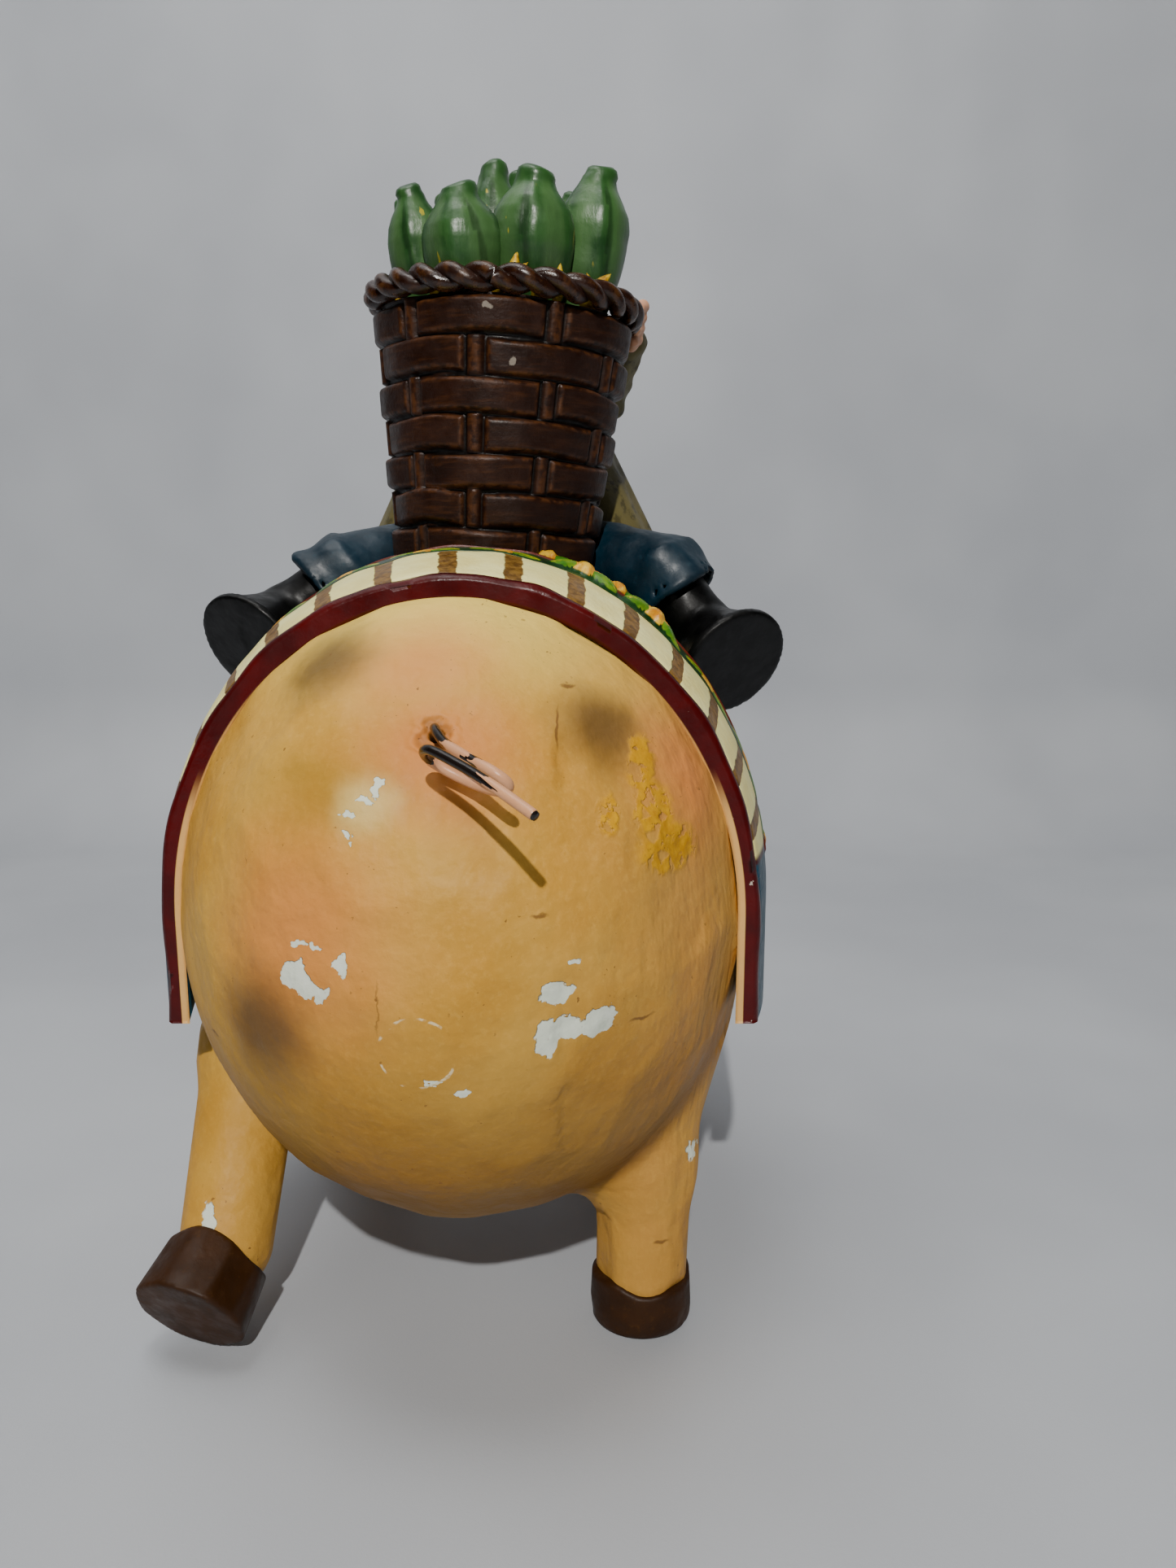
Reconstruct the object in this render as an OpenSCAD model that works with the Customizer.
// Painted figurine: a pig standing on four hooves, with a saddle blanket over its
// back, a seated rider, a basket of husked corn behind the rider, and a curled wire
// tail that turns in a hole drilled in the rump.
// +Z is up, +Y is towards the snout, and the floor is z = 0.

/* [Pig] */
// Width of the barrel
body_w = 84; // [80:1:86]
// Length of the barrel, rump to chest
body_l = 108; // [106:1:112]
// Height of the barrel, belly to back
body_h = 96; // [94:1:98]
// Height of the belly above the floor
belly_z = 14.5; // [13.5:0.5:15.5]
// Thickness of the hollow cast wall
wall = 4; // [3:0.5:6]
// Width of a leg above its hoof
leg_d = 13.4; // [12.6:0.2:14]
// Width of a hoof
hoof_d = 15; // [14.4:0.2:16]
// Height of a hoof
hoof_h = 7.5; // [6.5:0.5:8.5]

/* [Tail] */
// Thickness of the tail wire
wire_d = 1.05; // [0.9:0.05:1.2]
// Clearance between the wire and its hole, on the radius
wire_gap = 0.05; // [0.02:0.01:0.1]

/* [Blanket] */
// Thickness of the saddle blanket
blanket_t = 2.4; // [2:0.2:2.8]
// Depth of the edging that covers the blanket's end faces
edging_w = 1.2; // [0.8:0.2:2]
// Width of the striped band, front to back
band_w = 12.6; // [10:0.2:13]
// Width of the leaf border, front to back
border_w = 6; // [5:1:8]

/* [Basket] */
// Radius of the basket's cone at its hidden foot, inside the blanket
basket_foot_r = 13.8; // [13.4:0.1:14.4]
// Radius of the basket under its rope rim
basket_top_r = 19.9; // [19.4:0.1:20.2]
// Thickness of the rope rim
rope_d = 4.3; // [4:0.1:4.6]
// Thickness of the basket wall
basket_wall = 2; // [1.5:0.5:3]

/* [Rider] */
// Width of a trouser leg
trouser_d = 13; // [12:0.5:13.5]
// Width of the tunic at its hem
tunic_w = 53; // [50:1:55]
// Width of the head
head_d = 20; // [18:1:21]

/* [Hidden] */
$fn = 64;

// Places the barrel so that the origin is under the middle of the whole figure
barrel_x = -1.07;
barrel_y = -14.17;

barrel_c = [0, 0, belly_z + body_h / 2];
barrel_r = [body_w, body_l, body_h] / 2;

// Snout end of the pig
head_c = [0, 56, 70];
head_r = 23;
// Head profile as fractions of its radius: [radius, distance forward of its middle]
head_profile = [
    [0, -0.87], [0.74, -0.87], [0.8, -0.5], [0.93, -0.2], [1, 0.08], [0.97, 0.36],
    [0.84, 0.6], [0.6, 0.8], [0.3, 0.93], [0, 0.96]
];
snout_y0 = head_c.y + 17;
snout_l = 18;
snout_z = head_c.z - 3;
nostril_x = 3.4;
ear_root = [12.5, 58, 85];
ear_t = 3;
ear_l = 19;
eye_c = [11, 74, 79];
eye_r = 2.6;

// Blanket stations along the barrel
blanket_y0 = -22;
blanket_y1 = 40;
skirt_z = 47.5;

// Basket axis: it leans a little to the right and towards the head
basket_foot = [1.4, 18.3, 96];
basket_top = [4.3, 19.6, 147.6];
filling_drop = 4;
filling_h = 24;

// Tail hole: its angle above the barrel's middle, and the wire's way out of it as
// [right, up the rump, out of the hole] points
tail_angle = 37.3;
tail_plug = 7;
tail_route = [
    [0, 0, 0], [0, 0, 1], [0.5, -1.4, 2.1], [1.7, -3.5, 3.3], [4.5, -6.7, 5.6],
    [7.3, -9.3, 7.2], [9, -10.4, 6.4], [8.4, -10.1, 4.2], [6.1, -8.5, 2.2],
    [3.4, -6.9, 1.6], [0.9, -5.7, 2.2], [-0.2, -5.6, 3.9], [-0.2, -6.1, 6],
    [0.8, -7, 7.6], [3.1, -8.7, 8.4], [6.7, -11.6, 9.4], [12.3, -16.8, 11]
];
tail_steps = 4;
tail_sides = 10;

// Ears of corn: [x, y, z of the tip, greatest radius]
corn = [
    [-11.5, 20, 166, 3.1], [-9.2, 12.4, 166, 3.9], [-1.3, 6.2, 164.5, 5.3],
    [3, 17, 170.4, 4.4], [6.4, 26.6, 171.4, 4.1], [9.9, 8.4, 167.1, 5.6],
    [15.4, 24, 168, 4.2], [19.4, 13.8, 169, 4.8], [-4.6, 22.8, 168, 4],
    [-6.5, 29.4, 166, 3.5]
];
corn_lean = 0.74;

// Rider
seat_c = [4, 39, 107];
hip_x = 5;
cuff_x = 26;
hip = [0, 37, 112.4];
cuff = [0, 18, 108.8];
cuff_len = 4.2;
cuff_room = 0.4;
foot_r = [4.9, 8.8];
shoulder_z = 141;
hem_z = 112;
hem_h = 3;
rider_x = 4;
rider_y = 43;
tunic_y = 40;
tunic_depth = 0.6;
shoulder_share = 0.47;
sleeve_r = 4;
hand_r = 3;
neck_r = 4.6;
head_z = shoulder_z + head_d / 2 + 1;
hair_t = 0.6;
hairline_y = 44.5;

function unit(v) = v / norm(v);

// Moves a piece from the barrel's own centre line to the figure's origin
module placed() translate([barrel_x, barrel_y, 0]) children();

module ellipsoid(c, r) translate(c) scale(r) sphere(r = 1);

// Turns +Z onto v, at p
module along(p, v)
    translate(p) rotate([0, acos(v.z / norm(v)), atan2(v.y, v.x)]) children();

// A round bar or cone from a to b
module bar(a, b, r1, r2)
    along(a, b - a) cylinder(h = norm(b - a), r1 = r1, r2 = r2);

module barrel(grow = 0)
    ellipsoid(barrel_c, barrel_r + grow * [1, 1, 1]);

/* Pig */

function rump(angle) =
    barrel_c + [0, -barrel_r.y * cos(angle), barrel_r.z * sin(angle)];
function rump_out(angle) =
    unit([0, -cos(angle) / barrel_r.y, sin(angle) / barrel_r.z]);

module pig_body() color("burlywood") placed() difference() {
    barrel();
    barrel(-wall);
    along(rump(tail_angle), -rump_out(tail_angle))
        translate([0, 0, -2]) cylinder(h = wall + 6, r = wire_d / 2 + wire_gap);
}

module head_form() translate(head_c) rotate([-90, 0, 0]) rotate_extrude()
    polygon(head_r * head_profile);

module pig_head() color("burlywood") placed() difference() {
    head_form();
    barrel();
}

// A tapered muzzle that ends in a slightly wider disc, with two nostrils
module pig_snout() color("rosybrown") placed() difference() {
    translate([0, snout_y0, snout_z]) rotate([-90, 0, 0]) rotate_extrude()
        polygon([[0, 0], [11.4, 0], [9.4, snout_l - 6], [9.2, snout_l - 3],
                 [9.8, snout_l - 2], [9.8, snout_l - 0.8], [9, snout_l], [0, snout_l]]);
    head_form();
    for (side = [-1, 1])
        translate([side * nostril_x, snout_y0 + snout_l - 2, snout_z])
            rotate([-90, 0, 0]) cylinder(h = 3, r = 1.5);
}

// A thick leaf-shaped ear that stands out sideways and tips forward
module ear(side) color("burlywood") placed() difference() {
    translate([side * ear_root.x, ear_root.y, ear_root.z])
        rotate([-18, side * 38, 0]) translate([0, ear_t / 2, 0]) rotate([90, 0, 0])
            linear_extrude(ear_t)
                polygon([[-6.5, -3], [6.5, -3], [7.6, 0.3 * ear_l], [5, 0.7 * ear_l],
                         [1, ear_l], [-1, ear_l], [-5, 0.7 * ear_l],
                         [-7.6, 0.3 * ear_l]]);
    head_form();
    barrel(0.3);
}

module eye(side) color("black") placed() difference() {
    translate([side * eye_c.x, eye_c.y, eye_c.z]) sphere(r = eye_r);
    head_form();
}

function hoof_at(side, front) =
    front ? [side * 25, 32, 0] : [25.4, -17.8, 0];

// A planted leg runs up into the barrel; a rear one has a bent knee, a front one is straight
module leg_form(side, front) {
    foot = hoof_at(side, front) + [0, 0, hoof_h - 2];
    if (front) {
        bar(foot, foot + [-3 * side, -11, 40], leg_d / 2, leg_d / 2 + 1);
    } else {
        knee = foot + [0.6 * side, 1.8, 16.5];
        bar(foot, knee, leg_d / 2, leg_d / 2);
        translate(knee) sphere(r = leg_d / 2 + 0.3);
        bar(knee, foot + [3 * side, 11, 36.5], leg_d / 2, leg_d / 2 + 1.2);
    }
}

module planted_leg(side, front) color("burlywood") placed() difference() {
    leg_form(side, front);
    barrel();
    hoof_form(side, front);
}

module hoof_form(side, front)
    translate(hoof_at(side, front)) cylinder(h = hoof_h, r = hoof_d / 2);

module planted_hoof(side, front) color("saddlebrown") placed()
    hoof_form(side, front);

// The rear left leg is kicked back, so that it stands on the toe of its hoof
kick_hip = [-34.5, -4, 37];
kick_ankle = [-36, -22, 11.6];
kick_out = unit([-0.25, -0.84, -0.48]);
kick_sole_r = hoof_d / 2 + 0.8;
kick_len = (kick_ankle.z - kick_sole_r * sqrt(1 - kick_out.z * kick_out.z))
    / -kick_out.z;

module rear_left_leg() color("burlywood") placed() difference() {
    union() {
        bar(kick_ankle, kick_hip, leg_d / 2, leg_d / 2 + 0.8);
        translate(kick_ankle) sphere(r = leg_d / 2 + 0.3);
    }
    barrel();
    rear_left_hoof_form(2);
}

module rear_left_hoof_form(reach = 0)
    bar(kick_ankle, kick_ankle + kick_out * (kick_len + reach), hoof_d / 2,
        kick_sole_r);

module rear_left_hoof() color("saddlebrown") placed() rear_left_hoof_form();

/* Tail */

// The point at t on a smooth curve through p0 .. p3, between p1 and p2
function curve(p0, p1, p2, p3, t) =
    (2 * p1 + (p2 - p0) * t + (2 * p0 - 5 * p1 + 4 * p2 - p3) * t * t
        + (3 * p1 - p0 - 3 * p2 + p3) * t * t * t) / 2;

function at_end(list, i) = list[max(0, min(len(list) - 1, i))];

tail_line = [
    for (i = [0 : len(tail_route) - 2], s = [0 : tail_steps - 1])
        curve(at_end(tail_route, i - 1), tail_route[i], tail_route[i + 1],
              at_end(tail_route, i + 2), s / tail_steps),
    tail_route[len(tail_route) - 1]
];

// Sideways direction of each ring, carried along the line so that it never twists
function carried(line, i) =
    i == 0 ? [1, 0, 0]
           : let (t = heading(line, i), u = carried(line, i - 1)) unit(u - (u * t) * t);
function heading(line, i) = unit(at_end(line, i + 1) - at_end(line, i - 1));

module swept_wire(line, r, sides) {
    points = [
        for (i = [0 : len(line) - 1])
            let (t = heading(line, i), u = carried(line, i), v = cross(t, u))
                for (k = [0 : sides - 1])
                    line[i] + r * (cos(360 * k / sides) * u + sin(360 * k / sides) * v)
    ];
    last = (len(line) - 1) * sides;
    polyhedron(points, concat(
        [[for (k = [0 : sides - 1]) k]],
        [for (i = [0 : len(line) - 2], k = [0 : sides - 1])
            [i * sides + k, (i + 1) * sides + k,
             (i + 1) * sides + (k + 1) % sides, i * sides + (k + 1) % sides]],
        [[for (k = [sides - 1 : -1 : 0]) last + k]]));
}

// Turns the hole's own frame into the figure's: out of the hole, and up the rump
module tail_frame() {
    out = rump_out(tail_angle);
    translate(rump(tail_angle)) rotate([acos(out.z), 0, 0]) children();
}

module tail_wire() color("rosybrown") placed() tail_frame() {
    translate([0, 0, -tail_plug]) cylinder(h = tail_plug + 0.5, r = wire_d / 2);
    swept_wire(tail_line, wire_d / 2, tail_sides);
}

/* Blanket */

// The blanket's outside: it follows the back, and hangs straight from its widest part
module blanket_form(grow) {
    r = barrel_r + grow * [1, 1, 1];
    ellipsoid(barrel_c, r);
    scale([r.x, r.y, 1]) cylinder(h = barrel_c.z, r = 1);
}

// A strip of the blanket between two stations along the barrel
module blanket_strip(y0, y1, t) placed() difference() {
    intersection() {
        blanket_form(t);
        translate([-body_w, y0, skirt_z]) cube([2 * body_w, y1 - y0, body_w]);
    }
    blanket_form(0);
}

border_y = blanket_y0 + edging_w + band_w;

module rear_edging() color("maroon")
    blanket_strip(blanket_y0, blanket_y0 + edging_w, blanket_t);
module rear_band() color("beige")
    blanket_strip(blanket_y0 + edging_w, blanket_y0 + edging_w + band_w, blanket_t);
module leaf_border() color("olivedrab")
    blanket_strip(border_y, border_y + border_w, blanket_t);
module blanket() color("darkgreen")
    blanket_strip(border_y + border_w, blanket_y1 - edging_w - band_w, blanket_t);
module front_band() color("beige")
    blanket_strip(blanket_y1 - edging_w - band_w, blanket_y1 - edging_w, blanket_t);
module front_edging() color("maroon") difference() {
    blanket_strip(blanket_y1 - edging_w, blanket_y1, blanket_t);
    placed() head_form();
}

// What stands on the blanket is cut away to this surface
module under_blanket() barrel(blanket_t);

/* Basket */

basket_axis = basket_top - basket_foot;
basket_h = norm(basket_axis);
function on_basket(h) = basket_foot + h * unit(basket_axis);

module basket_form(grow = 0) along(basket_foot, basket_axis)
    cylinder(h = basket_h, r1 = basket_foot_r + grow, r2 = basket_top_r + grow);

module basket() color("saddlebrown") placed() difference() {
    basket_form();
    filling_form();
    under_blanket();
}

function basket_r(h) =
    basket_foot_r + (basket_top_r - basket_foot_r) * h / basket_h;

module filling_form() along(on_basket(filling_h), basket_axis)
    cylinder(h = basket_h - filling_h + 1, r1 = basket_r(filling_h) - basket_wall,
             r2 = basket_top_r - basket_wall);

module basket_filling() color("goldenrod") placed() difference() {
    filling_form();
    along(on_basket(basket_h - filling_drop), basket_axis)
        cylinder(h = 10, r = 2 * basket_top_r);
}

module rim_form() along(basket_top, basket_axis)
    translate([0, 0, rope_d / 2]) rotate_extrude()
        translate([basket_top_r, 0]) circle(d = rope_d);

module basket_rim() color("saddlebrown") placed() rim_form();

// One ear: a spindle in its husk, standing in the filling and leaning outwards
module corn_form(spec) {
    rim = on_basket(basket_h - filling_drop);
    tip = [spec[0], spec[1], spec[2]];
    foot = [rim.x + corn_lean * (tip.x - rim.x), rim.y + corn_lean * (tip.y - rim.y),
            rim.z - 1];
    l = norm(tip - foot);
    r = spec[3];
    along(foot, tip - foot) rotate_extrude()
        polygon([[0, 0], [0.55 * r, 0], [0.8 * r, 0.2 * l], [r, 0.45 * l],
                 [0.92 * r, 0.62 * l], [0.6 * r, 0.82 * l], [0.38 * r, 0.93 * l],
                 [0.3 * r, l], [0, l]]);
}

module corn_ear(i) color("darkgreen") placed() difference() {
    corn_form(corn[i]);
    filling_under();
    rim_form();
    if (i > 0) for (j = [0 : i - 1]) corn_form(corn[j]);
}

// The filling's flat top, below which no ear reaches
module filling_under() along(on_basket(0), basket_axis)
    cylinder(h = basket_h - filling_drop, r = 2 * basket_top_r);

/* Rider */

module seat_form() ellipsoid(seat_c, [13, 11, 10]);

module trousers_seat() color("steelblue") placed() difference() {
    seat_form();
    under_blanket();
    basket_form();
}

function hip_end(side) = [rider_x + side * hip_x, hip.y, hip.z];
function cuff_end(side) = [rider_x + side * cuff_x, cuff.y, cuff.z];

module trouser_form(side)
    bar(hip_end(side), cuff_end(side), trouser_d / 2 + 0.8, trouser_d / 2);

module trouser_leg(side) color("steelblue") placed() difference() {
    trouser_form(side);
    seat_form();
    under_blanket();
    basket_form();
}

// The flared end of a trouser leg, turned to face along the boot
module trouser_cuff(side) color("steelblue") placed() difference() {
    way = unit(ankle_at(side) - cuff_end(side));
    union() {
        translate(cuff_end(side)) sphere(r = trouser_d / 2 + 0.1);
        bar(cuff_end(side), cuff_end(side) + cuff_len * way, trouser_d / 2,
            trouser_d / 2 + 0.6);
    }
    boot_shaft(side, cuff_room);
    trouser_form(side);
    under_blanket();
    basket_form();
}

function sole_out(side) = unit([side * 0.45, -0.75, -0.45]);
function sole_at(side) = [rider_x + side * (side > 0 ? 36.6 : 40), side > 0 ? 8 : 9.5,
                          side > 0 ? 95.5 : 97.5];
function ankle_at(side) = sole_at(side) - 9 * sole_out(side);

module boot_shaft(side, room = 0)
    bar(cuff_end(side), ankle_at(side), foot_r[0] + room, foot_r[0] + room);

module boot(side) color("black") placed() difference() {
    union() {
        boot_shaft(side);
        translate(ankle_at(side)) sphere(r = foot_r[0] + 0.1);
        bar(ankle_at(side), sole_at(side), foot_r[0], foot_r[1]);
    }
    under_blanket();
    trouser_form(side);
    basket_form();
}

module tunic_form(z0, z1, grow = 0) {
    top_w = shoulder_share * tunic_w;
    slope = (tunic_w - top_w) / 2 / (shoulder_z - hem_z);
    translate([rider_x, tunic_y, z0]) scale([1, tunic_depth, 1])
        cylinder(h = z1 - z0, r1 = tunic_w / 2 - slope * (z0 - hem_z) + grow,
                 r2 = tunic_w / 2 - slope * (z1 - hem_z) + grow);
}

module below_tunic() {
    seat_form();
    under_blanket();
    basket_form();
    for (side = [-1, 1]) trouser_form(side);
}

module tunic() color("darkkhaki") placed() difference() {
    tunic_form(hem_z + hem_h, shoulder_z);
    below_tunic();
}

module tunic_hem() color("olive") placed() difference() {
    tunic_form(hem_z, hem_z + hem_h, 0.4);
    below_tunic();
}

function elbow(side) = side > 0 ? [20, 42, 139] : [-10.5, 43, 139];
function wrist(side) = side > 0 ? [23.8, 36, 147.5] : [-14, 37, 147.5];

module arm_form(side) {
    bar([rider_x + side * 9, rider_y, shoulder_z - 5], elbow(side), sleeve_r + 0.6,
        sleeve_r);
    translate(elbow(side)) sphere(r = sleeve_r + 0.15);
    bar(elbow(side), wrist(side), sleeve_r, sleeve_r - 0.4);
}

module arm(side) color("darkkhaki") placed() difference() {
    arm_form(side);
    tunic_form(hem_z, shoulder_z);
    basket_form();
    rim_form();
}

module hand(side) color("rosybrown") placed() difference() {
    bar(wrist(side), wrist(side) + [-side * 0.6, -5.5, 4], hand_r, hand_r + 0.4);
    arm_form(side);
    basket_form();
    rim_form();
}

module head_ball(grow = 0)
    translate([rider_x, rider_y, head_z]) sphere(r = head_d / 2 + grow);

module rider_head() color("rosybrown") placed() difference() {
    union() {
        head_ball();
        translate([rider_x, rider_y, shoulder_z]) cylinder(h = 4, r = neck_r);
    }
    hair_form();
    rim_form();
    basket_form();
}

// A cap of hair: open in front of the hairline, and above the nape
module hair_form() difference() {
    translate([0, -0.4, 0.4]) head_ball(hair_t);
    translate([rider_x - head_d, hairline_y, head_z - head_d])
        cube([2 * head_d, head_d, 1.3 * head_d]);
    head_ball(-1.5);
    translate([rider_x - head_d, rider_y - head_d, head_z - 1.5 * head_d - 4])
        cube([2 * head_d, 2 * head_d, 1.5 * head_d]);
}

module rider_hair() color("black") placed() difference() {
    hair_form();
    rim_form();
    basket_form();
}

pig_body();
pig_head();
pig_snout();
ear(-1);  // left_ear
ear(1);  // right_ear
eye(-1);  // left_eye
eye(1);  // right_eye
planted_leg(-1, true);  // front_left_leg
planted_leg(1, true);  // front_right_leg
rear_left_leg();
planted_leg(1, false);  // rear_right_leg
planted_hoof(-1, true);  // front_left_hoof
planted_hoof(1, true);  // front_right_hoof
rear_left_hoof();
planted_hoof(1, false);  // rear_right_hoof
tail_wire();
blanket();
rear_edging();
rear_band();
front_edging();
front_band();
leaf_border();
basket();
basket_rim();
basket_filling();
for (i = [0 : len(corn) - 1])
    corn_ear(i);
trousers_seat();
trouser_leg(-1);  // left_trouser_leg
trouser_leg(1);  // right_trouser_leg
trouser_cuff(-1);  // left_cuff
trouser_cuff(1);  // right_cuff
boot(-1);  // left_boot
boot(1);  // right_boot
tunic();
tunic_hem();
arm(-1);  // left_arm
arm(1);  // right_arm
hand(-1);  // left_hand
hand(1);  // right_hand
rider_head();
rider_hair();
